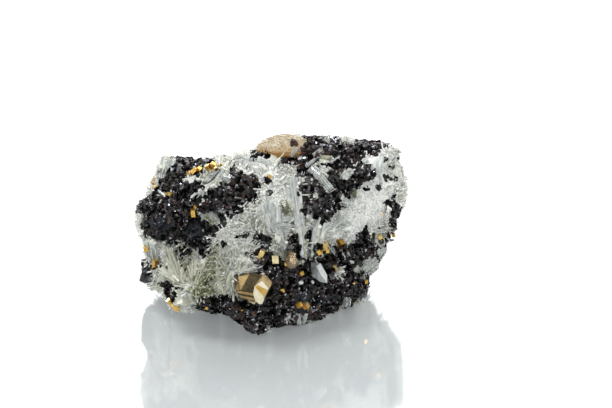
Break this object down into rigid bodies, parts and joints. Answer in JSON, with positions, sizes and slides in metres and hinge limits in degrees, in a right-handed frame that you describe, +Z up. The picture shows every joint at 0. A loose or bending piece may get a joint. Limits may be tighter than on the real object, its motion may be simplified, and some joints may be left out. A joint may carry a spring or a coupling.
{
  "type": "pyrite with galena and quartz",
  "caption": "Loose mineral specimen: gold pyrite crystals and dark sparkling galena crusts on a pale quartz rock with needle and prism crystals.",
  "frame": {"origin": "middle of the footprint's bounding box, on the surface that the specimen rests on", "axes": "+X to the right as seen from its show side, +Y away from the viewer, +Z up"},
  "size_m": [0.0826, 0.0666, 0.0539],
  "materials": {
    "quartz_druse": "pale greenish-white crystal druse",
    "quartz_crystal": "glassy crystal faces",
    "galena": "dark sparkling crystal faces",
    "pyrite": "metallic gold crystal faces",
    "clear_crystal": "clear grey crystal",
    "calcite": "tan granular mineral"
  },
  "bodies": {
    "root": {"calcite_dome": "calcite", "clear_grey_crystal": "clear_crystal", "galena_cluster_left_foot": "galena", "galena_crust_back": "galena", "galena_crust_lower_front": "galena", "galena_crust_right_edge": "galena", "galena_crust_upper_left": "galena", "galena_crust_upper_right": "galena", "pyrite_brown_oval": "pyrite", "pyrite_front_left": "pyrite", "pyrite_front_right": "pyrite", "pyrite_large": "pyrite", "pyrite_left_edge": "pyrite", "pyrite_left_upper": "pyrite", "pyrite_lower_left": "pyrite", "pyrite_lower_right": "pyrite", "pyrite_nugget": "pyrite", "pyrite_orange_bar": "pyrite", "pyrite_pointed_pair": "pyrite", "pyrite_pyritohedron": "pyrite", "pyrite_right_edge": "pyrite", "pyrite_right_middle": "pyrite", "pyrite_striated_cube": "pyrite", "pyrite_top_bar": "pyrite", "pyrite_top_cluster": "pyrite", "pyrite_upper_left": "pyrite", "quartz_band_diagonal": "quartz_crystal", "quartz_dome_lower_right": "quartz_crystal", "quartz_group_bottom_front": "quartz_crystal", "quartz_matrix": "quartz_druse", "quartz_needle_right_edge": "quartz_crystal", "quartz_plate_upper_right": "quartz_crystal", "quartz_point_lower_right": "quartz_crystal", "quartz_prism_end_on": "quartz_crystal", "quartz_prism_top": "quartz_crystal", "quartz_stub_upper_left": "quartz_crystal"}
  },
  "joints": []
}
